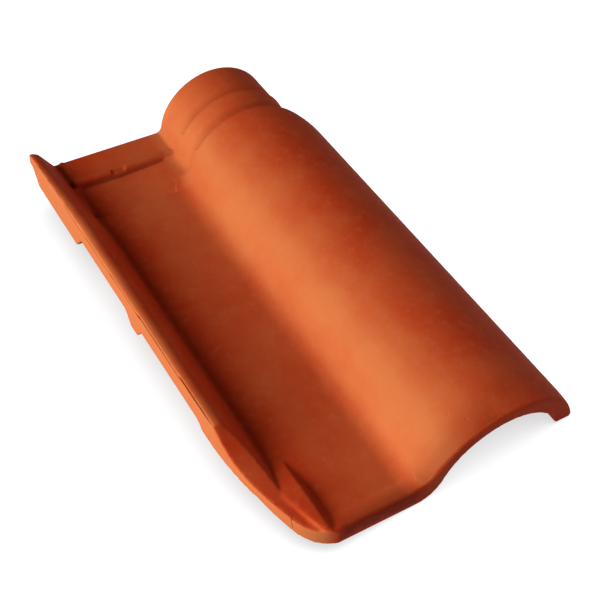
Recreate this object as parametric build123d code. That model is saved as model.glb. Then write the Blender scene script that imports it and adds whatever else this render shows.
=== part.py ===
from build123d import *
import os
from math import acos, asin, atan2, cos, degrees, pi, radians, sin, sqrt, tan

# Overall sizes, in millimetres. The part is drawn with x from the left outer face,
# y from the foot edge towards the head and z from the underside of the pan. Where a
# name holds a pair of x or z values, the first is at the foot and the second at the head.
LENGTH = 404.0
THICKNESS = 11.0
WALL_TOP = 37.0
WALL_FOOT = 21.8

# Left wall: rounded top and straight inner slope down to the pan, hollow underneath
CROWN_RADIUS = 9.0
SLOPE_ANGLE = 55.0
SLOPE_FOOT_X = 26.0
HOLLOW_X = 34.5
HOLLOW_RADIUS = 37.0

# Barrel roll, its reduced neck at the head and the fillets beside them
ROLL_X = 166.0
ROLL_Z = -2.0
ROLL_RADIUS = 64.2
ROLL_HEAD_RADIUS = 63.0
ROLL_BORE = 49.6
ROLL_FILLET = 16.0
BORE_FILLET = 22.0
NECK_X = 162.4
NECK_Z = 11.6
NECK_RADIUS = 48.5
NECK_BORE = 37.5
NECK_FILLET = 7.0
NECK_BORE_FILLET = 15.0
ROLL_EDGE_Z = 17.5
PAN_MIDDLE_X = 60.0
PAN_END_X = 120.0

# Neck, its inner ring and the shoulder, all measured from the head edge
NECK_LENGTH = 56.0
SHOULDER_LENGTH = 30.0
SHOULDER_ANGLE = 80.0
BORE_NECK_LENGTH = 58.0
BORE_SHOULDER_LENGTH = 40.0
RING_INSET = 33.0
RING_RISE = 1.6
EDGE_RADIUS = 3.0
SHOULDER_HEAD = LENGTH - NECK_LENGTH
SHOULDER_FOOT = SHOULDER_HEAD - SHOULDER_LENGTH
BORE_SHOULDER_HEAD = LENGTH - BORE_NECK_LENGTH
BORE_SHOULDER_FOOT = BORE_SHOULDER_HEAD - BORE_SHOULDER_LENGTH
RING_EDGE = LENGTH - RING_INSET

# Lip along the foot edge: raised on the pan, swelling to the left on the roll
LIP_FLAT = 3.0
LIP_REACH = 14.0
LIP_HEIGHT = 4.5
LIP_LEAN_X = 1.5
LIP_LEAN_Z = 1.0
LIP_SWELL = 1.3
LIP_LEFT_X = 36.0

# Head flange with its rib, and the sunk panel below it
FLANGE_LENGTH = 32.0
FLANGE_RISE = 1.4
FLANGE_LEFT_X = 24.0
FLANGE_RIGHT_X = 120.0
FLANGE_BITE = 5.5
RIB_WIDTH = 6.0
RIB_CREST = 2.0
RIB_RISE = 2.8
RIB_NOTCH_X = 62.0
RIB_NOTCH_WIDTH = 12.0
RIB_NOTCH_DEPTH = 3.0
FLANGE_FOOT = LENGTH - FLANGE_LENGTH
PANEL_LENGTH = 42.0
PANEL_DEPTH = 2.6
PANEL_LEFT_X = 23.5
PANEL_RIGHT_X = 106.0
PANEL_CORNER = 5.0
PANEL_SLANT_X = 14.0
PANEL_SLANT_Y = 20.0
PANEL_TAPER = 35.0
PANEL_FOOT = FLANGE_FOOT - PANEL_LENGTH

# Head end of the left wall, where it is lower and broader
LOWERING_LENGTH = 98.0
LOWERED_TOP = 31.0
LOWERED_CROWN_RADIUS = 12.0
LOWERED_SLOPE_FOOT_X = 19.4

# Lugs below the left edge: foot end, length and underside of each
LUG_WIDTH = 8.0
LUG_SLANT = 0.8
LUG_BITE = 4.0
LONG_LUG_INSET = 5.0
LONG_LUG_LENGTH = 96.0
LONG_LUG_Z = 8.5
MIDDLE_LUG_Y = 199.0
MIDDLE_LUG_LENGTH = 27.0
MIDDLE_LUG_Z = 11.0
CORNER_LUG_Y = 42.0
CORNER_LUG_LENGTH = 72.0
CORNER_LUG_Z = (9.5, 16.0)
CORNER_LUG_WIDTH = 12.0

# Cut corner at the foot of the left wall
CORNER_START_Y = 114.0
CORNER_END_X = 40.0
CORNER_KNEE_X = 17.5
CORNER_KNEE_Y = 22.6
CORNER_LONG_BOW_X = 5.9
CORNER_LONG_BOW_Y = 60.0
CORNER_SHORT_BOW_X = 26.6
CORNER_SHORT_BOW_Y = 8.2

# Scoop that ends the left wall, and the low shelf from there to the foot
SCOOP_HEAD = 94.5
SCOOP_BOW_Y = 78.0
SCOOP_BOW_Z = 26.2
SCOOP_FOOT = 54.0
SHELF_Z = 19.3
SHELF_FOOT_Z = 14.0
SHELF_RIGHT_X = 32.0
SHELF_TILT = 1.0

# Ridge beside the cut corner, climbing from the pan to the foot. Its sizes are given
# at the foot, at the bend and at its head end.
RIDGE_LENGTH = 68.0
RIDGE_BEND_Y = 38.0
RIDGE_CREST_LEFT_X = (33.5, 21.3, 31.0)
RIDGE_CREST_RIGHT_X = (35.5, 34.8, 36.5)
RIDGE_TOE_X = (42.0, 41.6, 38.0)
RIDGE_RISE = (5.6, 7.3, 0.1)
RIDGE_LEFT_RUN = 1.6
RIDGE_BASE_X = 18.0
RIDGE_BASE_Z = (13.5, 17.1, 10.8)
RIDGE_BITE = 3.0

# Batten nibs under the head
NIB_DROP = 12.0
NIB_LENGTH = 13.0
NIB_WIDTH = 24.0
NIB_INSET = 12.0
NIB_DRAFT = 3.0
NIB_CENTRES = (46.0, 92.0)
NIB_FOOT = LENGTH - NIB_INSET - NIB_LENGTH

# Room around the tile for the solids that cut it
CLEAR = 30.0
EDGE_STRIP = 1.0
DEEP = -40.0
FAR_X = 260.0


def blend(start, end, share):
    """Value that lies the given share of the way from start to end."""
    return start + (end - start) * share


def steps(start, end, count):
    """Evenly spaced values from start to end, both included."""
    return [blend(start, end, i / count) for i in range(count + 1)]


def shoulder_share(y):
    """How far the roll has shrunk to the neck: a steep quarter of an ellipse."""
    run = min(max((y - SHOULDER_FOOT) / SHOULDER_LENGTH, 0.0), 1.0)
    turn = asin(run * sin(radians(SHOULDER_ANGLE)))
    return (1 - cos(turn)) / (1 - cos(radians(SHOULDER_ANGLE)))


def bore_share(y):
    """How far the bore has shrunk to the neck: half a wave."""
    run = min(max((y - BORE_SHOULDER_FOOT) / BORE_SHOULDER_LENGTH, 0.0), 1.0)
    return (1 - cos(pi * run)) / 2


def ring_rise(y):
    """Height of the inner ring of the neck, steep at the head side."""
    if not SHOULDER_HEAD < y < RING_EDGE:
        return 0.0
    run = (y - SHOULDER_HEAD) / (RING_EDGE - SHOULDER_HEAD)
    return RING_RISE * sin(pi * run ** 2) ** 0.5 * run


def edge_drop(y):
    """Rounding of the outer surface at the two ends."""
    depth = EDGE_RADIUS - min(y, LENGTH - y, EDGE_RADIUS)
    return EDGE_RADIUS - sqrt(EDGE_RADIUS ** 2 - depth ** 2)


def lip_share(y):
    """How much of the foot lip is there, hollowed out behind its crest."""
    run = min(max((LIP_REACH - y) / (LIP_REACH - LIP_FLAT), 0.0), 1.0)
    return run ** 2


def spot(hub, radius, degrees):
    """Point at an angle round a hub."""
    return (hub[0] + radius * cos(radians(degrees)), hub[1] + radius * sin(radians(degrees)))


def line(start, end, y=0.0):
    """Straight edge between two points given as x and z."""
    return Edge.make_line((start[0], y, start[1]), (end[0], y, end[1]))


def arc(start, middle, end, y=0.0):
    """Arc through three points given as x and z."""
    return Edge.make_three_point_arc(*[(p[0], y, p[1]) for p in (start, middle, end)])


def chain(points, y=0.0):
    """Straight edges through points given as x and z."""
    return [line(a, b, y) for a, b in zip(points, points[1:])]


def barrel_wire(y, left_x, base_z, centre, radius, fillet_radius, far_x):
    """Closed outline under a barrel, its fillet and the flat beside it."""
    lift = base_z + fillet_radius - centre[1]
    reach = radius + fillet_radius
    hub = (centre[0] - sqrt(reach ** 2 - lift ** 2), base_z + fillet_radius)
    turn = degrees(atan2(-lift, centre[0] - hub[0]))
    foot = (hub[0], base_z)
    joint = spot(hub, fillet_radius, turn)
    middle = spot(hub, fillet_radius, (turn - 90) / 2)
    end = (centre[0] + sqrt(radius ** 2 - (ROLL_EDGE_Z - centre[1]) ** 2), ROLL_EDGE_Z)
    far = max(far_x, end[0] + EDGE_STRIP)
    start = (min(left_x, foot[0] - EDGE_STRIP), base_z)
    edges = [line(start, foot, y), arc(foot, middle, joint, y),
             arc(joint, spot(centre, radius, 90), end, y)]
    edges += chain([end, (far, ROLL_EDGE_Z), (far, DEEP), (start[0], DEEP), start], y)
    return Wire(edges)


def outer_wire(y, left_x):
    """Outline of all that lies under the top surface of the roll, from the given x on."""
    share = shoulder_share(y)
    lip = lip_share(y)
    drop = edge_drop(y)
    roll_radius = blend(ROLL_RADIUS, ROLL_HEAD_RADIUS, min(y / SHOULDER_FOOT, 1.0))
    centre = (blend(ROLL_X, NECK_X, share) - LIP_LEAN_X * lip,
              blend(ROLL_Z, NECK_Z, share) - LIP_LEAN_Z * lip)
    radius = blend(roll_radius, NECK_RADIUS, share) + ring_rise(y) + LIP_SWELL * lip - drop
    base_z = THICKNESS + (LIP_HEIGHT - drop) * lip
    fillet_radius = blend(ROLL_FILLET, NECK_FILLET, share)
    return barrel_wire(y, left_x, base_z, centre, radius, fillet_radius, 0.0)


def bore_wire(y):
    """Outline of all that lies below the underside of pan and roll."""
    share = bore_share(y)
    centre = (blend(ROLL_X, NECK_X, share), blend(ROLL_Z, NECK_Z, share))
    radius = blend(ROLL_BORE, NECK_BORE, share)
    fillet_radius = blend(BORE_FILLET, NECK_BORE_FILLET, share)
    return barrel_wire(y, PAN_MIDDLE_X, 0.0, centre, radius, fillet_radius, FAR_X)


def ruled(wires):
    """Solid skinned through the outlines with straight rulings."""
    return Solid.make_loft(wires, True)


def outer_barrel():
    """Everything under the top of the foot lip and the roll, from foot to head."""
    lip = steps(0.0, LIP_FLAT, 4) + steps(LIP_FLAT, LIP_REACH, 5)[1:]
    shoulder = steps(SHOULDER_FOOT, SHOULDER_HEAD, 10)
    ring = steps(SHOULDER_HEAD, RING_EDGE, 10)[1:]
    head = steps(LENGTH - EDGE_RADIUS, LENGTH, 4)
    roll = [LIP_REACH] + shoulder + ring + head
    return ruled([outer_wire(y, LIP_LEFT_X) for y in lip]) + ruled(
        [outer_wire(y, FAR_X) for y in roll])


def bore_barrel():
    """Everything below the underside of the roll."""
    shoulder = steps(BORE_SHOULDER_FOOT, BORE_SHOULDER_HEAD, 6)
    return ruled([bore_wire(y) for y in [-CLEAR] + shoulder + [LENGTH + CLEAR]])


def along(edges, start, end):
    """Solid drawn in x and z and pushed along y."""
    return Pos(0, start, 0) * extrude(Face(Wire(edges)), amount=end - start, dir=(0, 1, 0))


def profile_arc(start, middle, end):
    """Arc through three points given as y and z."""
    return Edge.make_three_point_arc(*[(0, *p) for p in (start, middle, end)])


def profile_chain(points):
    """Straight edges through points given as y and z."""
    return [Edge.make_line((0, *a), (0, *b)) for a, b in zip(points, points[1:])]


def across(edges, start, end, fall=0.0):
    """Solid drawn in y and z and pushed along x, sinking by the fall for each unit."""
    return Pos(start, 0, 0) * extrude(Face(Wire(edges)), amount=(end - start) * sqrt(1 + fall ** 2),
                                      dir=(1, 0, -fall))


def wall_wire(y, top, crown, foot_x):
    """Outline under the rounded top of the left wall, its inner slope and the pan."""
    steep, flat = sin(radians(SLOPE_ANGLE)), cos(radians(SLOPE_ANGLE))
    hub_z = top - crown
    hub_x = foot_x + (flat * (THICKNESS - hub_z) - crown) / steep
    hub = (hub_x, hub_z)
    start, end = degrees(acos(-hub_x / crown)), 90 - SLOPE_ANGLE
    corner, joint = spot(hub, crown, start), spot(hub, crown, end)
    edges = [arc(corner, spot(hub, crown, (start + end) / 2), joint, y)]
    edges += chain([joint, (foot_x, THICKNESS), (PAN_END_X, THICKNESS), (PAN_END_X, DEEP),
                    (0.0, DEEP), corner], y)
    return Wire(edges)


def outer_left():
    """Everything under the left wall and the pan, the wall lower towards the head."""
    full = [wall_wire(y, WALL_TOP, CROWN_RADIUS, SLOPE_FOOT_X)
            for y in (0.0, LENGTH - LOWERING_LENGTH)]
    return ruled(full + [wall_wire(LENGTH, LOWERED_TOP, LOWERED_CROWN_RADIUS,
                                   LOWERED_SLOPE_FOOT_X)])


def bore_left():
    """Everything below the underside of the left wall and the pan."""
    hub = (HOLLOW_X, HOLLOW_RADIUS)
    turn = 180 + degrees(asin(1 - WALL_FOOT / HOLLOW_RADIUS))
    start = spot(hub, HOLLOW_RADIUS, turn)
    edges = [arc(start, spot(hub, HOLLOW_RADIUS, (turn + 270) / 2), (HOLLOW_X, 0.0))]
    edges += chain([(HOLLOW_X, 0.0), (PAN_END_X, 0.0), (PAN_END_X, DEEP), (-CLEAR, DEEP),
                    (-CLEAR, WALL_FOOT), start])
    return along(edges, -CLEAR, LENGTH + CLEAR)


def plan_solid(edges, bottom, top):
    """Solid drawn in x and y and pushed up from bottom to top."""
    return Pos(0, 0, bottom) * extrude(Face(Wire(edges)), amount=top - bottom, dir=(0, 0, 1))


def panel():
    """Sunk field of the head, cut out of the pan."""
    outline = [(PANEL_LEFT_X, PANEL_FOOT), (PANEL_RIGHT_X - PANEL_SLANT_X, PANEL_FOOT),
               (PANEL_RIGHT_X, PANEL_FOOT + PANEL_SLANT_Y), (PANEL_RIGHT_X, FLANGE_FOOT),
               (PANEL_LEFT_X, FLANGE_FOOT)]
    face = Face(Wire.make_polygon([(x, y, THICKNESS) for x, y in outline]))
    face = face.fillet_2d(PANEL_CORNER, face.vertices())
    return extrude(face, amount=PANEL_DEPTH, dir=(0, 0, -1), taper=PANEL_TAPER)


def flange():
    """Raised strip along the head edge with a rounded rib on its foot side."""
    top = THICKNESS + FLANGE_RISE
    low = THICKNESS - FLANGE_BITE
    crest = THICKNESS + RIB_RISE
    curl = EDGE_RADIUS * (1 - sqrt(0.5))
    rib = profile_arc((FLANGE_FOOT, top), (FLANGE_FOOT + RIB_CREST, crest),
                      (FLANGE_FOOT + RIB_WIDTH, top))
    nose = profile_arc((LENGTH - EDGE_RADIUS, top), (LENGTH - curl, top - curl),
                       (LENGTH, top - EDGE_RADIUS))
    flat = Edge.make_line(rib @ 1, nose @ 0)
    sides = profile_chain([(LENGTH, top - EDGE_RADIUS), (LENGTH, low), (FLANGE_FOOT, low),
                           (FLANGE_FOOT, top)])
    strip = across([rib, flat, nose] + sides, FLANGE_LEFT_X, FLANGE_RIGHT_X)
    notch = Pos(RIB_NOTCH_X, FLANGE_FOOT, crest) * Box(RIB_NOTCH_WIDTH, RIB_NOTCH_DEPTH * 2,
                                                       RIB_RISE * 2)
    return strip - notch


def lug(foot, length, foot_z, head_z, width):
    """Short rib below the left edge, with slanted ends and the underside at two heights."""
    head = foot + length
    top = WALL_FOOT + LUG_BITE
    outline = [(foot, top), (foot, WALL_FOOT),
               (foot + (WALL_FOOT - foot_z) * LUG_SLANT, foot_z),
               (head - (WALL_FOOT - head_z) * LUG_SLANT, head_z),
               (head, WALL_FOOT), (head, top), (foot, top)]
    return across(profile_chain(outline), 0.0, width)


def lugs():
    """The three lugs below the left edge."""
    long_lug_foot = LENGTH - LONG_LUG_INSET - LONG_LUG_LENGTH
    return [lug(long_lug_foot, LONG_LUG_LENGTH, LONG_LUG_Z, LONG_LUG_Z, LUG_WIDTH),
            lug(MIDDLE_LUG_Y, MIDDLE_LUG_LENGTH, MIDDLE_LUG_Z, MIDDLE_LUG_Z, LUG_WIDTH),
            lug(CORNER_LUG_Y, CORNER_LUG_LENGTH, *CORNER_LUG_Z, CORNER_LUG_WIDTH)]


def corner_cut():
    """Everything outside the curved foot corner of the left wall."""
    knee = (CORNER_KNEE_X, CORNER_KNEE_Y)
    edges = [
        Edge.make_three_point_arc((0, CORNER_START_Y), (CORNER_LONG_BOW_X, CORNER_LONG_BOW_Y), knee),
        Edge.make_three_point_arc(knee, (CORNER_SHORT_BOW_X, CORNER_SHORT_BOW_Y), (CORNER_END_X, 0)),
    ]
    outside = [(CORNER_END_X, 0), (CORNER_END_X, -CLEAR), (-CLEAR, -CLEAR),
               (-CLEAR, CORNER_START_Y), (0, CORNER_START_Y)]
    edges += [Edge.make_line(a, b) for a, b in zip(outside, outside[1:])]
    return plan_solid(edges, DEEP, WALL_TOP + CLEAR)


def shelf_cut():
    """Scoop that ends the left wall and the low shelf from there to the foot."""
    high = WALL_TOP + CLEAR
    brow = (SCOOP_HEAD, WALL_TOP + EDGE_STRIP)
    fall = (SHELF_Z - SHELF_FOOT_Z) / SCOOP_FOOT
    scoop = profile_arc(brow, (SCOOP_BOW_Y, SCOOP_BOW_Z), (SCOOP_FOOT, SHELF_Z))
    sides = profile_chain([(SCOOP_FOOT, SHELF_Z), (-CLEAR, SHELF_FOOT_Z - CLEAR * fall),
                           (-CLEAR, high), (SCOOP_HEAD, high), brow])
    lean = tan(radians(SHELF_TILT))
    return across([scoop] + sides, 0.0, SHELF_RIGHT_X, lean)


def ridge():
    """Ridge beside the cut corner, climbing and narrowing to the foot, on a low base."""
    wires = []
    low = THICKNESS - RIDGE_BITE
    sections = zip((0.0, RIDGE_BEND_Y, RIDGE_LENGTH), RIDGE_CREST_LEFT_X, RIDGE_CREST_RIGHT_X,
                   RIDGE_TOE_X, RIDGE_RISE, RIDGE_BASE_Z)
    for y, left, right, toe, rise, base in sections:
        top = THICKNESS + rise
        outline = [(RIDGE_BASE_X, low), (RIDGE_BASE_X, base), (left - RIDGE_LEFT_RUN, base),
                   (left, top), (right, top), (toe, THICKNESS), (toe, low)]
        wires.append(Wire.make_polygon([(x, y, z) for x, z in outline]))
    return ruled(wires)


def nib(x):
    """Batten nib below the head, drafted on three sides, upright on the foot side."""
    head = NIB_FOOT + NIB_LENGTH
    side_view = [(NIB_FOOT, EDGE_STRIP), (NIB_FOOT, -NIB_DROP), (head - NIB_DRAFT, -NIB_DROP),
                 (head, 0.0), (head, EDGE_STRIP), (NIB_FOOT, EDGE_STRIP)]
    half = NIB_WIDTH / 2
    front_view = [(x - half, EDGE_STRIP), (x - half, 0.0), (x - half + NIB_DRAFT, -NIB_DROP),
                  (x + half - NIB_DRAFT, -NIB_DROP), (x + half, 0.0), (x + half, EDGE_STRIP),
                  (x - half, EDGE_STRIP)]
    return across(profile_chain(side_view), x - half, x + half) & along(
        chain(front_view), NIB_FOOT - CLEAR, LENGTH)


def tile():
    """The whole tile in its own axes."""
    body = outer_left() - panel()
    body += outer_barrel()
    body += flange()
    body -= bore_left() + bore_barrel()
    body += lugs()
    body += [nib(x) for x in NIB_CENTRES]
    body -= shelf_cut()
    body += ridge()
    body -= corner_cut()
    return body


def resting_plane():
    """Plane under the foot corner, the roll's right edge and the right nib."""
    reach = ROLL_BORE + BORE_FILLET
    hub = (ROLL_X - sqrt(reach ** 2 - (BORE_FILLET - ROLL_Z) ** 2), BORE_FILLET)
    edge_x = ROLL_X + sqrt(ROLL_RADIUS ** 2 - (ROLL_EDGE_Z - ROLL_Z) ** 2)
    tilt = degrees(atan2(ROLL_EDGE_Z, edge_x - hub[0]))
    corner = spot(hub, BORE_FILLET, tilt - 90)
    foot = Vector(corner[0], 0.0, corner[1])
    edge = Vector(edge_x, LIP_REACH, ROLL_EDGE_Z)
    heel = Vector(max(NIB_CENTRES) + NIB_WIDTH / 2 - NIB_DRAFT, NIB_FOOT, -NIB_DROP)
    up = (edge - foot).cross(heel - foot)
    return Plane(origin=foot, x_dir=Vector(0, 1, 0).cross(up), z_dir=up)


def settled(shape):
    """The shape as it lies unheld: on its resting plane, centred over the origin."""
    down = resting_plane().location.inverse() * shape
    box = down.bounding_box()
    return Pos(-box.center().X, -box.center().Y, -box.min.Z) * down


os.makedirs("parts", exist_ok=True)
export_step(settled(tile()), "parts/roof_tile.step")
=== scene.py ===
"""Looks of the clay roof tile: one moulded piece of fired clay on a pale studio floor."""

import logging
from dataclasses import dataclass
from enum import Enum
from math import atan2, cos, degrees, hypot, radians, sin

import bmesh
import bpy
from mathutils import Matrix, Vector


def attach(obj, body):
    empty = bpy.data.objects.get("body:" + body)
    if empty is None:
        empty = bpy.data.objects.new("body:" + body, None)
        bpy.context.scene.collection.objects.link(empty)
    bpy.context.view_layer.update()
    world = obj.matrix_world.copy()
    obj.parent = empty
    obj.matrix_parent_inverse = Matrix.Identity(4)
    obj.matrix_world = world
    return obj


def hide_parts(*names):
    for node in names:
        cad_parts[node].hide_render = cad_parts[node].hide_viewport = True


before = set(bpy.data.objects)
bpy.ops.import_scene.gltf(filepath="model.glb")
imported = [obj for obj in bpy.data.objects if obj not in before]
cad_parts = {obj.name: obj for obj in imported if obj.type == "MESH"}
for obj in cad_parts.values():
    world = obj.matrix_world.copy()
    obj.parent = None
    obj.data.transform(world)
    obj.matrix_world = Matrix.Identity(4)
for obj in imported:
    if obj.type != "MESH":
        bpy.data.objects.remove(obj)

LOG = logging.getLogger("roof_tile")
MM = 0.001
PAINTED_SHADE_NAME = "painted_shade_layer"
PAINTED_LIGHT_NAME = "painted_light"
WHITE = (1.0, 1.0, 1.0, 1.0)
Point = tuple[float, float, float]
Pair = tuple[float, float]


def between(value: float, start: float, end: float) -> float:
    """How far the value is on its way from start to end, from 0 to 1 and held there."""
    return max(0.0, min(1.0, (value - start) / (end - start)))


def ease(share: float) -> float:
    """A share from 0 to 1, with a soft start and a soft end."""
    return share * share * (3 - 2 * share)


def dip(off: float) -> float:
    """A mark's share of its full depth, from its middle at 0 to its rim at 1."""
    return 0.0 if off >= 1 else (1 - off * off) ** 2


@dataclass(frozen=True)
class TileFrame:
    """The tile's own frame: x across it, y from foot to head and z up from the pan."""

    x_axis: Point = (0.990173, 0.004429, -0.139775)
    y_axis: Point = (0.0, 0.999498, 0.031672)
    z_axis: Point = (0.139845, -0.031361, 0.989677)
    origin: Point = (-0.114258, -0.201566, 0.014282)

    def turn(self) -> Matrix:
        """Rotation from the tile's own frame to the floor's."""
        return Matrix((self.x_axis, self.y_axis, self.z_axis)).transposed()

    def matrix(self) -> Matrix:
        """The change from the tile's own frame to the floor's, both in metres."""
        return Matrix.Translation(self.origin) @ self.turn().to_4x4()

    def direction(self, vector: Point | Vector) -> Vector:
        """A direction of the tile's own frame in the floor's frame."""
        return self.turn() @ Vector(vector)

    def point(self, x: float, y: float, z: float) -> Vector:
        """A point given in millimetres on the tile, in metres on the floor."""
        return Vector(self.origin) + self.direction((x, y, z)) * MM

    def local(self, place: Vector) -> Vector:
        """A point in metres on the floor, in millimetres on the tile."""
        return self.turn().transposed() @ (place - Vector(self.origin)) / MM

    def local_direction(self, vector: Vector) -> Vector:
        """A direction of the floor's frame in the tile's own frame."""
        return self.turn().transposed() @ vector


@dataclass(frozen=True)
class PhotoCamera:
    """The camera, set by where it looks on the tile and from which side.

    Angles are in degrees, the target in millimetres on the tile, the distance in metres.
    """

    azimuth: float = 33.78
    elevation: float = 47.10
    roll: float = 4.25
    target: Point = (115.41, 175.93, 20.0)
    distance: float = 0.85736
    lens: float = 70.915
    sensor: float = 36.0

    def axes(self, tile: TileFrame) -> tuple[Vector, Vector, Vector]:
        """Right, up and forward of the camera on the floor.

        Args:
            tile: The tile's own frame, in which the angles are given.

        Returns:
            The three directions, each one unit long.
        """
        turn, tip, roll = map(radians, (self.azimuth, self.elevation, self.roll))
        ahead = Vector((sin(turn) * cos(tip), cos(turn) * cos(tip), -sin(tip)))
        level = Vector((cos(turn), -sin(turn), 0.0))
        above = level.cross(ahead)
        right = level * cos(roll) + above * sin(roll)
        up = above * cos(roll) - level * sin(roll)
        return tile.direction(right), tile.direction(up), tile.direction(ahead)

    def build(self, tile: TileFrame) -> bpy.types.Object:
        """Sets up the scene's camera.

        Args:
            tile: The tile's own frame.

        Returns:
            The camera object.
        """
        data = bpy.data.cameras.new("photo_camera")
        data.lens, data.sensor_width = self.lens, self.sensor
        camera = bpy.data.objects.new("photo_camera", data)
        bpy.context.scene.collection.objects.link(camera)
        right, up, ahead = self.axes(tile)
        turn = Matrix((right, up, -ahead)).transposed().to_4x4()
        eye = tile.point(*self.target) - ahead * self.distance
        camera.matrix_world = Matrix.Translation(eye) @ turn
        bpy.context.scene.camera = camera
        return camera


class Noise(Enum):
    """Kinds of noise that the clay's finish is mixed from, by their node's type."""

    CLOUDS = "ShaderNodeTexNoise"
    CELLS = "ShaderNodeTexVoronoi"


class ShaderTree:
    """The nodes of a material or a world, linked as they are added one after another."""

    FIRST_COLOUR, SECOND_COLOUR, MIXED_COLOUR = 6, 7, 2

    def __init__(self, owner: bpy.types.Material | bpy.types.World) -> None:
        """Starts the owner with an empty tree."""
        owner.use_nodes = True
        self.tree = owner.node_tree
        self.tree.nodes.clear()

    def add(self, kind: str, inputs: dict[str | int, object] | None = None,
            **settings: object) -> bpy.types.Node:
        """Adds one node.

        Args:
            kind: The node's type name.
            inputs: A value, or a socket to link from, for each input by name or number.
            settings: The node's own properties.

        Returns:
            The new node.
        """
        node = self.tree.nodes.new(kind)
        for name, value in settings.items():
            setattr(node, name, value)
        for name, value in (inputs or {}).items():
            if isinstance(value, bpy.types.NodeSocket):
                self.tree.links.new(value, node.inputs[name])
            else:
                node.inputs[name].default_value = value
        return node

    def noise(self, kind: Noise, place: bpy.types.NodeSocket, size: float,
              **inputs: float) -> bpy.types.NodeSocket:
        """The value of a noise of that size in metres; the inputs are the noise's own."""
        node = self.add(kind.value, {"Vector": place, "Scale": 1 / size, **inputs})
        return node.outputs["Fac" if kind is Noise.CLOUDS else "Distance"]

    def attribute(self, name: str) -> bpy.types.NodeSocket:
        """The value of one of the mesh's own attributes."""
        return self.add("ShaderNodeAttribute", attribute_name=name).outputs["Fac"]

    def total(self, first: bpy.types.NodeSocket, second: bpy.types.NodeSocket,
              held: bool = False) -> bpy.types.NodeSocket:
        """The sum of two values, held between 0 and 1 where asked."""
        node = self.add("ShaderNodeMath", {0: first, 1: second}, operation="ADD",
                        use_clamp=held)
        return node.outputs["Value"]

    def span(self, value: bpy.types.NodeSocket, low: float, high: float,
             start: float = 0.0, end: float = 1.0) -> bpy.types.NodeSocket:
        """The value's range from low to high, spread from start to end and held there."""
        node = self.add("ShaderNodeMapRange", {"Value": value, "From Min": low,
                                               "From Max": high, "To Min": start,
                                               "To Max": end})
        return node.outputs["Result"]

    def blend(self, share: bpy.types.NodeSocket,
              first: bpy.types.NodeSocket | tuple[float, ...],
              second: tuple[float, ...]) -> bpy.types.NodeSocket:
        """The first colour turned to the second by the share."""
        node = self.add("ShaderNodeMix", {"Factor": share, self.FIRST_COLOUR: first,
                                          self.SECOND_COLOUR: second}, data_type="RGBA")
        return node.outputs[self.MIXED_COLOUR]

    def bump(self, height: bpy.types.NodeSocket, depth: float,
             below: bpy.types.NodeSocket | None = None) -> bpy.types.NodeSocket:
        """The normal of a relief that is depth metres deep.

        Args:
            height: The relief's height from 0 to 1.
            depth: Its real depth in metres.
            below: The normal of a relief underneath it.

        Returns:
            The normal's socket.
        """
        inputs = {"Height": height, "Distance": depth, "Strength": 1.0}
        if below is not None:
            inputs["Normal"] = below
        return self.add("ShaderNodeBump", inputs).outputs["Normal"]


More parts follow.
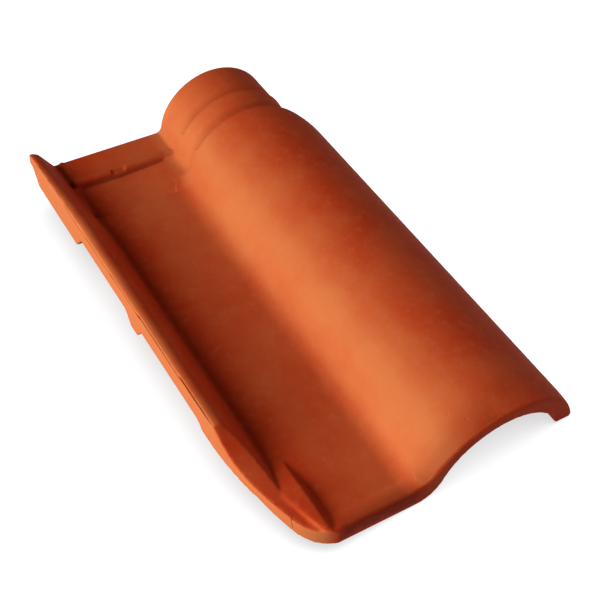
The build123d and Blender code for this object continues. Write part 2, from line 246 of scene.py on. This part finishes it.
@dataclass(frozen=True)
class FiredClay:
    """Unglazed clay, fired red, with painted light and shade: paler where lit, deeper in
    shade.

    Noise sizes and depths are in metres. The tones go from 0, deep, to 1, pale, each at its
    place across the tile in millimetres. A spread is the part of a noise that shows.
    """

    tile: TileFrame
    name: str = "fired_clay"
    deep: Point = (0.440, 0.036, 0.007)
    pale: Point = (0.510, 0.134, 0.040)
    # Colour of the painted shade in creases, corners, cuts and along the foot edge.
    painted_shade_colour: Point = (0.120, 0.009, 0.002)
    dust: Point = (0.560, 0.170, 0.070)
    # Painted light and shade: paler on the lit left flank and outer wall, deeper in the shaded
    # pan and right flank.
    tones: tuple[Pair, ...] = (
        (0.0, 0.10), (34.0, 0.0), (62.0, 0.32), (98.0, 0.42), (108.0, 0.85), (118.0, 0.95),
        (136.0, 0.50), (156.0, 0.26), (180.0, 0.14), (200.0, 0.10))
    width: float = 240.0
    roughness: Pair = (0.66, 0.80)
    roughness_spread: Pair = (0.3, 0.7)
    sheen: float = 0.12
    sheen_tint: Point = (1.0, 0.62, 0.36)
    cloud: float = 0.30
    cloud_size: float = 0.045
    cloud_spread: Pair = (0.35, 0.65)
    cloud_detail: float = 5.0
    cloud_roughness: float = 0.6
    speck: float = 0.16
    speck_size: float = 0.006
    speck_spread: Pair = (0.52, 0.80)
    speck_detail: float = 3.0
    grain_size: float = 0.0012
    grain_depth: float = 0.00012
    grain_detail: float = 2.0
    pit_spacing: float = 0.012
    pit_spread: Pair = (0.03, 0.09)
    pit_depth: float = 0.0002

    def colour(self, value: Point) -> tuple[float, float, float, float]:
        """A colour with its alpha."""
        return (*value, 1.0)

    def across(self, shader: ShaderTree, place: bpy.types.NodeSocket) -> bpy.types.NodeSocket:
        """How pale the clay is by its place across the tile: painted light and shade.

        Args:
            shader: The material's tree.
            place: The place in metres on the floor.

        Returns:
            The share from deep to pale.
        """
        start = shader.add("ShaderNodeVectorMath", {0: place, 1: self.tile.origin},
                           operation="SUBTRACT")
        side = shader.add("ShaderNodeVectorMath", {0: start.outputs["Vector"],
                                                   1: self.tile.x_axis},
                          operation="DOT_PRODUCT")
        share = shader.span(side.outputs["Value"], 0.0, self.width * MM)
        ramp = shader.add("ShaderNodeValToRGB", {"Fac": share})
        ramp.color_ramp.interpolation = "EASE"
        stops = ramp.color_ramp.elements
        ready = len(stops)
        for index, (x, tone) in enumerate(self.tones):
            stop = stops[index] if index < ready else stops.new(x / self.width)
            stop.position, stop.color = x / self.width, (tone, tone, tone, 1.0)
        return ramp.outputs["Color"]

    def relief(self, shader: ShaderTree, place: bpy.types.NodeSocket) -> bpy.types.NodeSocket:
        """The normal of the clay's fine grain and small pits.

        Args:
            shader: The material's tree.
            place: The place in metres on the floor.

        Returns:
            The normal's socket.
        """
        grain = shader.noise(Noise.CLOUDS, place, self.grain_size, Detail=self.grain_detail)
        pits = shader.span(shader.noise(Noise.CELLS, place, self.pit_spacing),
                           *self.pit_spread)
        return shader.bump(pits, self.pit_depth, shader.bump(grain, self.grain_depth))

    def material(self) -> bpy.types.Material:
        """Builds the clay's material of noises read at the tile's real size.

        Returns:
            The material.
        """
        material = bpy.data.materials.new(self.name)
        shader = ShaderTree(material)
        place = shader.add("ShaderNodeTexCoord").outputs["Object"]
        clouds = shader.noise(Noise.CLOUDS, place, self.cloud_size,
                              Detail=self.cloud_detail, Roughness=self.cloud_roughness)
        specks = shader.noise(Noise.CLOUDS, place, self.speck_size, Detail=self.speck_detail)
        drift = shader.span(clouds, *self.cloud_spread, -self.cloud / 2, self.cloud / 2)
        # Painted light and shade across the tile, with a random drift of the clay's own
        # colour.
        tone = shader.total(self.across(shader, place), drift)
        # Painted light on the wall's outer side, painted shade on the foot's face.
        tone = shader.total(tone, shader.attribute(PAINTED_LIGHT_NAME), held=True)
        skin = shader.blend(tone, self.colour(self.deep), self.colour(self.pale))
        dust = shader.span(specks, *self.speck_spread, 0.0, self.speck)
        skin = shader.blend(dust, skin, self.colour(self.dust))
        # Painted shade in the grooves, creases, corners, cuts and along the foot edge.
        skin = shader.blend(shader.attribute(PAINTED_SHADE_NAME), skin, self.colour(self.painted_shade_colour))
        rough = shader.span(clouds, *self.roughness_spread, *self.roughness)
        body = shader.add("ShaderNodeBsdfPrincipled", {
            "Base Color": skin, "Roughness": rough, "Specular IOR Level": self.sheen,
            "Specular Tint": self.colour(self.sheen_tint),
            "Normal": self.relief(shader, place)})
        shader.add("ShaderNodeOutputMaterial", {"Surface": body.outputs["BSDF"]})
        return material


@dataclass(frozen=True, kw_only=True)
class Mark:
    """A soft mark in the clay, with its depth in millimetres, below nought where it rises.

    Its painted shade strength is how dark the painted shade in it is where it is deepest.
    """

    depth: float
    painted_shade_strength: float = 0.0

    def sink(self, x: float, y: float, z: float) -> float:
        """How far the clay lies below its plain surface there, in millimetres."""
        raise NotImplementedError

    def shade(self, place: Vector) -> float:
        """How dark the painted shade in the mark is at that place of the tile."""
        return self.painted_shade_strength * self.sink(*place) / self.depth if self.painted_shade_strength else 0.0


@dataclass(frozen=True)
class Groove(Mark):
    """A soft groove round the neck of the roll; sizes in millimetres."""

    place: float
    half_width: float
    left: float = 118.0
    low: float = 16.0
    fade: float = 30.0

    def sink(self, x: float, y: float, z: float) -> float:
        """How far the clay lies below the plain neck there, in millimetres.

        Args:
            x: The place across the tile.
            y: The place from foot to head.
            z: The height over the pan.

        Returns:
            The depth, below nought where the clay lies higher.
        """
        if x < self.left:
            return 0.0
        rise = between(z, self.low, self.low + self.fade)
        return self.depth * rise * dip(abs(y - self.place) / self.half_width)


@dataclass(frozen=True)
class Crease(Mark):
    """A soft crease across the pan; sizes in millimetres."""

    place: float
    half_width: float
    left: float = 27.0
    right: float = 104.0
    fade: float = 4.0
    floor: Pair = (6.0, 16.0)

    def sink(self, x: float, y: float, z: float) -> float:
        """How far the clay lies below the plain pan there, in millimetres.

        Args:
            x: The place across the tile.
            y: The place from foot to head.
            z: The height over the pan.

        Returns:
            The depth, below nought where the clay lies higher.
        """
        if not self.floor[0] < z < self.floor[1]:
            return 0.0
        inside = between(min(x - self.left, self.right - x), 0.0, self.fade)
        return self.depth * inside * dip(abs(y - self.place) / self.half_width)


@dataclass(frozen=True)
class Dent(Mark):
    """A small round hollow, or a nub where its depth is below nought; sizes in millimetres."""

    middle: Point
    radius: float

    def sink(self, x: float, y: float, z: float) -> float:
        """How far the clay lies below its plain surface there, in millimetres."""
        return self.depth * dip((Vector((x, y, z)) - Vector(self.middle)).length / self.radius)


@dataclass(frozen=True)
class Ramp(Mark):
    """A slope by which the sunk panel rises to the pan on its right; sizes in millimetres."""

    left: float = 64.0
    right: float = 107.0
    foot: float = 328.0
    head: float = 371.0
    floor: float = 8.4
    below: float = 1.0

    def sink(self, x: float, y: float, z: float) -> float:
        """How far the clay lies below the slope there, as a rise, in millimetres.

        Args:
            x: The place across the tile.
            y: The place from foot to head.
            z: The height over the pan.

        Returns:
            The depth, below nought where the clay lies higher.
        """
        if not (self.left < x < self.right and self.foot < y < self.head
                and self.floor - self.below < z < self.floor - self.depth):
            return 0.0
        return min(0.0, z - self.floor + self.depth * between(x, self.left, self.right))


@dataclass(frozen=True)
class FootFall:
    """A soft fall of the roll's flank to its foot edge.

    Sizes are in millimetres. The turns are degrees round the roll's middle: where the fall
    begins, where it is full, where it is full no longer and where it has ended.
    """

    middle: Pair = (166.0, -2.0)
    bore: float = 49.6
    radius: float = 64.2
    depth: float = 5.0
    start: float = 28.0
    turns: tuple[float, float, float, float] = (45.0, 92.0, 152.0, 167.0)

    def move(self, place: Vector) -> Vector:
        """Which way and how far the clay moves there.

        Args:
            place: A point of the tile.

        Returns:
            The move towards the roll's middle, none of it on the underside.
        """
        if place.y > self.start:
            return Vector()
        out = Vector((place.x - self.middle[0], 0.0, place.z - self.middle[1]))
        turn = degrees(atan2(out.z, out.x))
        begin, full, last, end = self.turns
        around = ease(between(turn, begin, full)) * ease(between(turn, end, last))
        along = ease(between(place.y, self.start, 0.0))
        height = between(out.length, self.bore, self.radius)
        return -out.normalized() * (self.depth * around * along * height)


@dataclass(frozen=True)
class PaintedShadePatch:
    """A soft patch of painted shade in a corner or along a step; sizes in millimetres."""

    middle: Point
    reach: Point
    strength: float

    def shade(self, place: Vector) -> float:
        """How dark the patch is at that place of the tile."""
        off = Vector([(a - b) / c for a, b, c in zip(place, self.middle, self.reach)]).length
        return 0.0 if off >= 1 else self.strength * (1 - off * off)


@dataclass(frozen=True)
class Band:
    """A soft band of painted shade along the foot edge; sizes in millimetres.

    It starts at one place along the tile, is full at a second and ends at the edge, and its
    strength is the share of the painted shade colour in the clay's colour.
    """

    left: float
    right: float
    start: float
    full: float
    edge: float
    strength: float
    fade: float = 8.0
    edge_fade: float = 1.0

    def shade(self, place: Vector) -> float:
        """How dark the band is there.

        Args:
            place: A point of the tile.

        Returns:
            The share of the painted shade colour in the clay's colour.
        """
        side = between(min(place.x - self.left, self.right - place.x), 0.0, self.fade)
        depth = min(between(place.y, self.start, self.full),
                    between(place.y, self.edge, self.edge + self.edge_fade))
        return self.strength * side * depth


@dataclass(frozen=True)
class PaintedLight:
    """Painted light on the left wall's outer side, and painted shade on the foot's face.

    Reach and corner are in millimetres. The other pairs are parts of the surface's normal:
    where the effect starts and where it is full, or the sides past which it shows at all.
    """

    reach: float = 14.0
    corner: Pair = (46.0, 94.0)
    outward: Pair = (0.55, -0.65)
    upright: Pair = (0.8, 0.3)
    pale: float = 0.9
    pale_side: float = 0.1
    deep: float = 0.8
    deep_side: float = -0.5

    def tone(self, place: Vector, normal: Vector) -> float:
        """How much painted light makes the clay paler there, or painted shade below nought.

        Args:
            place: A point of the tile.
            normal: Which way its surface faces.

        Returns:
            What is added to the clay's tone.
        """
        right, foot = self.corner
        if place.y > foot:
            return between(normal.x, *self.outward) if place.x < self.reach else 0.0
        near = between(place.x, right, right - self.reach)
        pale = self.pale * near if normal.x < self.pale_side else 0.0
        deep = self.deep * (1 - near) if normal.y < self.deep_side else 0.0
        return between(normal.z, *self.upright) * (pale - deep)


@dataclass(frozen=True)
class Score:
    """A fine cut with painted shade in it, between two points of the tile; sizes in
    millimetres.
    """

    foot: Point
    head: Point
    half_width: float
    depth: float
    reach: float
    fade: float

    def near(self, corners: list[Vector]) -> bool:
        """Whether a face may lie within reach of the cut.

        Args:
            corners: The face's corners on the tile.

        Returns:
            Whether the box round the corners comes within reach.
        """
        for axis in range(3):
            low, high = sorted((self.foot[axis], self.head[axis]))
            places = [corner[axis] for corner in corners]
            if max(places) < low - self.reach or min(places) > high + self.reach:
                return False
        return True

    def share(self, place: Vector) -> float:
        """How much of its full depth the cut has there: all in the middle, none at its ends.

        Args:
            place: A point on the tile.

        Returns:
            The share, which is nought out of the cut's reach.
        """
        foot, head = Vector(self.foot), Vector(self.head)
        length = (head - foot).length
        along = (place - foot).dot((head - foot) / length)
        aside = (place - foot.lerp(head, along / length)).length
        if aside > self.reach:
            return 0.0
        return between(min(along, length - along), 0.0, self.fade)


@dataclass(frozen=True)
class TileBody:
    """The tile itself, with the soft edges of pressed clay and a fine seam on its wall.

    Weld, voxel, snap and on_line are in metres, and the places on the tile in millimetres.
    The knife is the way in which the fine cuts go into the clay.
    """

    tile: TileFrame
    finish: FiredClay
    node: str = "roof_tile"
    name: str = "clay_tile"
    slot: str = "fired_clay"
    weld: float = 0.00002
    voxel: float = 0.001
    softening: int = 3
    softness: float = 0.5
    triangles: int = 180_000
    # The marks' painted shade darkens the neck grooves and the step below the head rib.
    relief: tuple[Mark, ...] = (
        Groove(370.0, 5.5, depth=1.5, painted_shade_strength=0.22), Groove(347.0, 6.5, depth=1.7, painted_shade_strength=0.26),
        Crease(370.5, 2.0, depth=1.0, painted_shade_strength=0.5), Crease(374.6, 2.4, depth=-1.0),
        Crease(378.6, 2.6, depth=-0.5), Crease(331.5, 2.0, depth=0.6),
        Crease(9.5, 6.0, left=37.0, right=128.0, fade=10.0, floor=(10.0, 55.0), depth=-1.2),
        Crease(0.0, 6.0, left=37.0, right=106.0, fade=10.0, floor=(12.0, 17.0), depth=0.7),
        Dent((25.0, 402.5, 12.4), 3.2, depth=-1.6), Dent((0.6, 97.7, 17.5), 3.0, depth=1.2),
        Ramp(depth=-2.6))
    fall: FootFall = FootFall()
    scores: tuple[Score, ...] = (
        Score((0.9, 95.0, 36.7), (0.0, 336.2, 33.6), half_width=1.5, depth=1.7, reach=6.0,
              fade=12.0),
        Score((18.4, 22.6, 17.5), (17.6, 19.4, 6.5), half_width=0.6, depth=1.2, reach=3.0,
              fade=3.0))
    knife: Point = (0.38, 0.0, -0.73)
    snap: float = 1e-7
    on_line: float = 1e-6
    # Painted shade along the foot edge, in the head's corners and along the panel's step.
    painted_shades: tuple[PaintedShadePatch | Band, ...] = (
        Band(38.0, 106.0, start=14.0, full=2.0, edge=-1.0, strength=0.58),
        Band(98.0, 160.0, start=20.0, full=3.0, edge=1.2, strength=0.42),
        PaintedShadePatch((22.0, 373.0, 11.5), (6.0, 4.0, 5.0), strength=0.7),
        PaintedShadePatch((25.0, 335.0, 9.5), (5.0, 6.0, 5.0), strength=0.8),
        PaintedShadePatch((40.0, 331.5, 9.5), (22.0, 2.2, 4.0), strength=0.35))
    painted_light: PaintedLight = PaintedLight()
    neck_middle: Pair = (162.4, 11.6)
    neck_mean: float = 43.0
    neck_left: float = 112.0
    wall_right: float = 3.0
    pan_top: float = 17.0

    def welded(self) -> bpy.types.Object:
        """Copies the CAD node as one closed mesh.

        Returns:
            The copy's object.
        """
        form = bmesh.new()
        form.from_mesh(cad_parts[self.node].data)
        bmesh.ops.remove_doubles(form, verts=form.verts, dist=self.weld)
        mesh = bpy.data.meshes.new(self.name)
        form.to_mesh(mesh)
        form.free()
        piece = bpy.data.objects.new(self.name, mesh)
        bpy.context.scene.collection.objects.link(piece)
        return piece

    def settle(self, piece: bpy.types.Object) -> None:
        """Takes the result of the piece's modifiers as its own mesh.

        Args:
            piece: The tile's object, whose modifiers are cleared.
        """
        seen = bpy.context.evaluated_depsgraph_get()
        made = bpy.data.meshes.new_from_object(piece.evaluated_get(seen))
        piece.modifiers.clear()
        piece.data = made

    def rounded(self, piece: bpy.types.Object) -> None:
        """Turns the piece into an even skin of small faces, with its edges softened.

        The skin's cells lie along the tile's own axes, which keeps its flats and edges plain.

        Args:
            piece: The tile's object, whose mesh is changed.
        """
        piece.data.transform(self.tile.matrix().inverted())
        skin = piece.modifiers.new("skin", "REMESH")
        skin.mode, skin.voxel_size = "VOXEL", self.voxel
        self.settle(piece)
        piece.data.transform(self.tile.matrix())
        form = bmesh.new()
        form.from_mesh(piece.data)
        for _ in range(self.softening):
            bmesh.ops.smooth_vert(form, verts=form.verts, factor=self.softness,
                                  use_axis_x=True, use_axis_y=True, use_axis_z=True)
        form.normal_update()
        self.press_relief(form)
        form.to_mesh(piece.data)
        form.free()
        fewer = piece.modifiers.new("fewer", "DECIMATE")
        squares = len(piece.data.polygons)
        fewer.ratio = self.triangles / (2 * squares)
        self.settle(piece)

    def press_relief(self, form: bmesh.types.BMesh) -> None:
        """Presses the soft marks into the upper side and lets the flank fall to its foot.

        Marks of the pan go straight down, those of the roll and the wall into their surface.

        Args:
            form: The tile's mesh.
        """
        up = self.tile.direction((0.0, 0.0, 1.0))
        for vert in form.verts:
            place = self.tile.local(vert.co)
            vert.co += self.tile.direction(self.fall.move(place)) * MM
            depth = sum(mark.sink(*place) for mark in self.relief)
            if not depth:
                continue
            on_pan = place.x < self.neck_left and place.z < self.pan_top
            if on_pan and vert.normal.dot(up) > 0:
                vert.co -= up * depth * MM
            elif self.outside(place) or place.x < self.wall_right:
                vert.co -= vert.normal * depth * MM

    def outside(self, place: Vector) -> bool:
        """Whether a place on the roll is on its outer side."""
        middle_x, middle_z = self.neck_middle
        return hypot(place.x - middle_x, place.z - middle_z) > self.neck_mean

    def scored(self, piece: bpy.types.Object) -> None:
        """Cuts the fine lines into the piece, lays the painted shade and painted light on it
        and turns its faces smooth.

        Args:
            piece: The tile's object, whose mesh is changed.
        """
        form = bmesh.new()
        form.from_mesh(piece.data)
        form.verts.layers.float.new(PAINTED_SHADE_NAME)
        form.verts.layers.float.new(PAINTED_LIGHT_NAME)
        painted_shade_layer, painted_light = (form.verts.layers.float[name] for name in (PAINTED_SHADE_NAME, PAINTED_LIGHT_NAME))
        for vert in form.verts:
            place = self.tile.local(vert.co)
            normal = self.tile.local_direction(vert.normal)
            # Painted shade on the upper side, where the marks and patches give it.
            vert[painted_shade_layer] = self.painted_shade_strength(place) if normal.z > 0 else 0.0
            # Painted light and shade by which way the surface faces.
            vert[painted_light] = self.painted_light.tone(place, normal)
        for score in self.scores:
            self.cut(form, score)
        for face in form.faces:
            face.smooth = True
        form.to_mesh(piece.data)
        form.free()

    def painted_shade_strength(self, place: Vector) -> float:
        """How dark the painted shade is at that place of the tile's upper side."""
        return max(spot.shade(place) for spot in (*self.relief, *self.painted_shades))

    def cut(self, form: bmesh.types.BMesh, score: Score) -> None:
        """Cuts one fine line, with painted shade at its bottom.

        Args:
            form: The tile's mesh.
            score: The line.
        """
        painted_shade_layer = form.verts.layers.float[PAINTED_SHADE_NAME]
        foot, head = self.tile.point(*score.foot), self.tile.point(*score.head)
        inward = self.tile.direction(self.knife).normalized()
        across = (head - foot).cross(inward).normalized()
        for offset in (-score.half_width, 0.0, score.half_width):
            near = [face for face in form.faces
                    if score.near([self.tile.local(vert.co) for vert in face.verts])]
            edges = {edge for face in near for edge in face.edges}
            verts = {vert for face in near for vert in face.verts}
            bmesh.ops.bisect_plane(form, geom=[*near, *edges, *verts], dist=self.snap,
                                   plane_co=foot + across * offset * MM, plane_no=across)
        form.normal_update()
        for vert in form.verts:
            if abs((vert.co - foot).dot(across)) < self.on_line:
                share = score.share(self.tile.local(vert.co))
                # Painted shade at the bottom of the cut.
                vert[painted_shade_layer] = max(vert[painted_shade_layer], share)
                vert.co += inward * score.depth * share * MM

    def build(self) -> bpy.types.Object:
        """Builds the tile, dresses it and sets it on its body.

        Returns:
            The finished piece.
        """
        piece = self.welded()
        self.rounded(piece)
        self.scored(piece)
        piece.data.materials.append(self.finish.material())
        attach(piece, "root")
        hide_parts(self.node)
        return piece


class Lit(Enum):
    """What a studio light falls on."""

    TILE = "lit_tile"
    FLOOR = "lit_floor"


@dataclass(frozen=True)
class SoftLight:
    """An oval soft light, aimed at a place on the floor; sizes in metres, power in watts."""

    lit: Lit
    toward: Point
    size: Pair
    power: float
    aim: Point = (0.0, 0.0, 0.0)
    distance: float = 1.6

    def build(self, thing: bpy.types.Object) -> bpy.types.Object:
        """Builds the light.

        Args:
            thing: What the light falls on.

        Returns:
            The light object.
        """
        data = bpy.data.lights.new(self.lit.value, "AREA")
        data.shape, data.energy = "ELLIPSE", self.power
        data.size, data.size_y = self.size
        light = bpy.data.objects.new(self.lit.value, data)
        bpy.context.scene.collection.objects.link(light)
        side = Vector(self.toward).normalized()
        light.rotation_mode = "QUATERNION"
        light.rotation_quaternion = side.to_track_quat("Z", "Y")
        light.location = Vector(self.aim) + side * self.distance
        group = bpy.data.collections.new(self.lit.value)
        group.objects.link(thing)
        light.light_linking.receiver_collection = group
        return light


@dataclass(frozen=True)
class Studio:
    """A white floor, a broad key light low on the left, a weak one on the right and a fill."""

    floor_half: float = 3.0
    floor_colour: Point = (0.385, 0.40, 0.415)
    floor_glow: float = 0.67
    fill: float = 0.06
    lights: tuple[SoftLight, ...] = (
        SoftLight(Lit.TILE, (-0.83, 0.10, 0.55), size=(1.8, 1.3), power=46.0,
                  aim=(0.0, -0.15, 0.0)),
        SoftLight(Lit.TILE, (0.95, -0.10, 0.26), size=(0.8, 0.6), power=6.5),
        SoftLight(Lit.FLOOR, (0.10, -0.10, 1.0), size=(2.2, 2.2), power=52.0))

    def floor(self) -> bpy.types.Object:
        """Builds the pale floor, a little bright of itself so that it shows as white.

        Returns:
            The floor's object.
        """
        form = bmesh.new()
        bmesh.ops.create_grid(form, x_segments=1, y_segments=1, size=self.floor_half)
        mesh = bpy.data.meshes.new("floor")
        form.to_mesh(mesh)
        form.free()
        floor = bpy.data.objects.new("floor", mesh)
        bpy.context.scene.collection.objects.link(floor)
        material = bpy.data.materials.new("pale_floor")
        shader = ShaderTree(material)
        seen = shader.add("ShaderNodeLightPath").outputs["Is Camera Ray"]
        glow = shader.span(seen, 0.0, 1.0, 0.0, self.floor_glow)
        body = shader.add("ShaderNodeBsdfPrincipled", {
            "Base Color": (*self.floor_colour, 1.0), "Roughness": 1.0,
            "Specular IOR Level": 0.0, "Emission Color": WHITE, "Emission Strength": glow})
        shader.add("ShaderNodeOutputMaterial", {"Surface": body.outputs["BSDF"]})
        mesh.materials.append(material)
        return floor

    def surround(self) -> bpy.types.World:
        """Builds the even fill, which shows as plain white.

        Returns:
            The scene's world.
        """
        world = bpy.data.worlds.new("surround")
        shader = ShaderTree(world)
        seen = shader.add("ShaderNodeLightPath").outputs["Is Camera Ray"]
        strength = shader.span(seen, 0.0, 1.0, self.fill, 1.0)
        light = shader.add("ShaderNodeBackground", {"Color": WHITE, "Strength": strength})
        shader.add("ShaderNodeOutputWorld", {"Surface": light.outputs["Background"]})
        bpy.context.scene.world = world
        return world

    def build(self, tile: bpy.types.Object) -> None:
        """Builds the floor, the lights and the fill.

        Args:
            tile: The finished tile, which the side lights fall on.
        """
        things = {Lit.TILE: tile, Lit.FLOOR: self.floor()}
        for light in self.lights:
            light.build(things[light.lit])
        self.surround()


def main() -> None:
    """Builds the tile and its studio."""
    logging.basicConfig(level=logging.INFO, format="%(message)s")
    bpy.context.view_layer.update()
    tile = TileFrame()
    piece = TileBody(tile, FiredClay(tile)).build()
    LOG.info("%s: %d faces", piece.name, len(piece.data.polygons))
    Studio().build(piece)
    PhotoCamera().build(tile)
    bpy.context.scene.view_settings.view_transform = "Standard"


if __name__ == "__main__":
    main()
